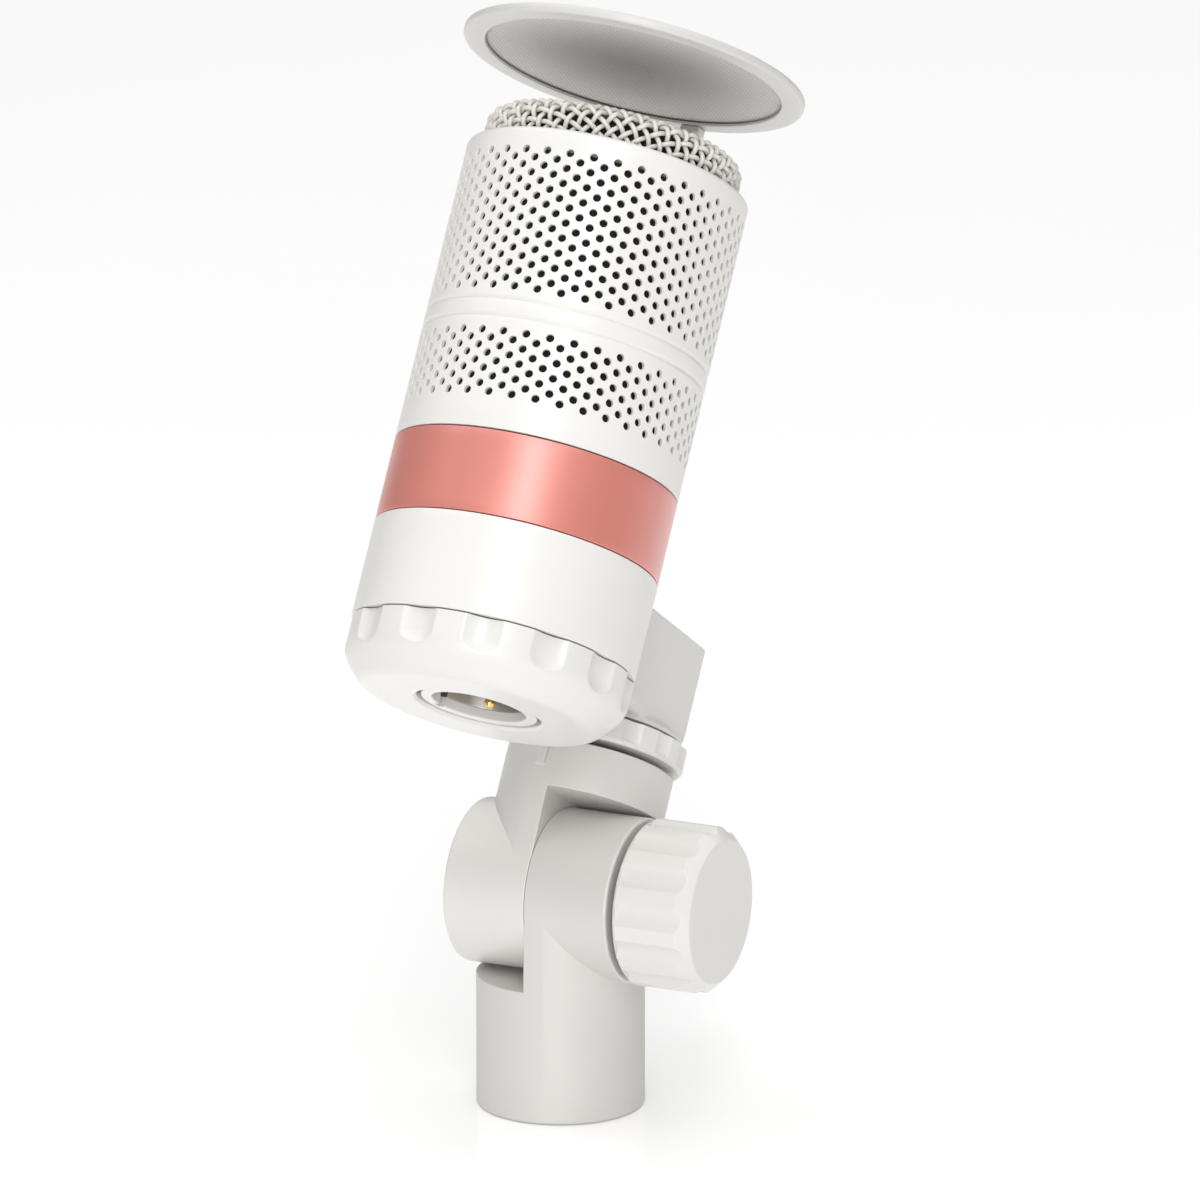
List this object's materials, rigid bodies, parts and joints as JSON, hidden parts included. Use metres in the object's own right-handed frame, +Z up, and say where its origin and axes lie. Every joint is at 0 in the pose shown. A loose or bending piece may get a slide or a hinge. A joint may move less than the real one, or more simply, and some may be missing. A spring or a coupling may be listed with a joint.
{
  "type": "desktop microphone",
  "caption": "Cylindrical perforated microphone on an offset tilting swivel with side clamp knob, round pop filter and coloured band.",
  "frame": {"origin": "centre of the base's underside, on the stand-thread axis", "axes": "+Z up along the stand thread; +X along the tilt hinge towards the clamp knob; -Y towards the front, the side that the microphone body is offset to"},
  "size_m": [0.0715, 0.1224, 0.2273],
  "materials": {
    "white_shell": "satin",
    "grille_wire": "satin",
    "white_moulding": "satin",
    "swivel_casting": "satin",
    "coral_band": "satin",
    "steel": "satin",
    "connector_metal": "satin",
    "gold_contact": "polished",
    "thread_brass": "satin",
    "copper_coil": "satin",
    "capsule_alloy": "satin",
    "black_moulding": "matte",
    "red_lead": "satin",
    "soft_rubber": "matte",
    "dark_foam": "matte",
    "pop_fabric": "matte",
    "board_green": "satin",
    "clear_film": "gloss"
  },
  "bodies": {
    "lower_swivel": {"swivel_base": "swivel_casting", "stand_thread_insert": "thread_brass", "friction_disc": "black_moulding"},
    "knob_carrier": {"knob_washer": "steel"},
    "knob": {"clamp_knob": "white_moulding", "clamp_bolt": "steel"},
    "upper_swivel": {"swivel_head": "swivel_casting", "clamp_nut": "steel", "barrel_plug": "swivel_casting", "neck_stud": "steel", "stud_nut": "steel", "neck_wave_washer": "steel"},
    "locking_ring": {"locking_ring": "white_moulding"},
    "microphone": {"offset_block": "swivel_casting", "mount_screw_left": "steel", "mount_screw_right": "steel", "lower_barrel": "white_shell", "colour_band": "coral_band", "joint_sleeve": "black_moulding", "perforated_shell": "white_shell", "grille_dome": "grille_wire", "dome_ring": "black_moulding", "shell_foam": "dark_foam", "dome_foam": "dark_foam", "inner_frame": "black_moulding", "shock_ring_lower": "soft_rubber", "shock_ring_upper": "soft_rubber", "capsule_housing": "capsule_alloy", "magnet_yoke": "steel", "magnet": "steel", "pole_piece": "steel", "voice_coil": "copper_coil", "diaphragm": "clear_film", "capsule_front": "black_moulding", "circuit_board": "board_green", "capsule_lead_cold": "black_moulding", "capsule_lead_hot": "red_lead", "xlr_flange": "white_moulding", "xlr_tube": "connector_metal", "xlr_insulator": "black_moulding", "xlr_pin_1": "gold_contact", "xlr_pin_2": "gold_contact", "xlr_pin_3": "gold_contact", "tail_plate": "steel", "plate_screw_left": "steel", "plate_screw_right": "steel"},
    "cap_carrier": {"cap_seal_ring": "soft_rubber"},
    "tail_cap": {"tail_cap": "white_moulding"},
    "pop_filter": {"pop_ring": "white_moulding", "pop_mesh": "pop_fabric", "pop_arm": "white_moulding"}
  },
  "joints": [
    {"name": "tilt", "type": "hinge", "parent": "lower_swivel", "child": "upper_swivel", "pos_m": [0, 0, 0.0447], "axis": [1, 0, 0], "range_deg": [-49, 71]},
    {"name": "knob_travel", "type": "slide", "parent": "lower_swivel", "child": "knob_carrier", "axis": [1, 0, 0], "range_m": [0, 0.00125]},
    {"name": "knob_turn", "type": "hinge", "parent": "knob_carrier", "child": "knob", "pos_m": [0, 0, 0.0447], "axis": [1, 0, 0], "range_deg": [0, 360]},
    {"name": "pan", "type": "hinge", "parent": "upper_swivel", "child": "microphone", "pos_m": [0, 0, 0.0447], "axis": [0, 0.5168, 0.8561], "range_deg": [-90, 90]},
    {"name": "ring_turn", "type": "hinge", "parent": "upper_swivel", "child": "locking_ring", "pos_m": [0, 0, 0.0447], "axis": [0, 0.5168, 0.8561], "range_deg": [0, 90]},
    {"name": "cap_travel", "type": "slide", "parent": "microphone", "child": "cap_carrier", "axis": [0, -0.5168, -0.8561], "range_m": [0, 0.0015]},
    {"name": "cap_turn", "type": "hinge", "parent": "cap_carrier", "child": "tail_cap", "pos_m": [0, -0.03682, 0.09158], "axis": [0, -0.5168, -0.8561], "range_deg": [0, 360]},
    {"name": "pop_filter_pull", "type": "slide", "parent": "microphone", "child": "pop_filter", "axis": [0, 0.5168, 0.8561], "range_m": [0, 0.012]}
  ],
  "couplings": [
    {"joint": "knob_turn", "follows": "knob_travel", "rad_per_m": 5026.5},
    {"joint": "cap_turn", "follows": "cap_travel", "rad_per_m": 4188.7}
  ]
}
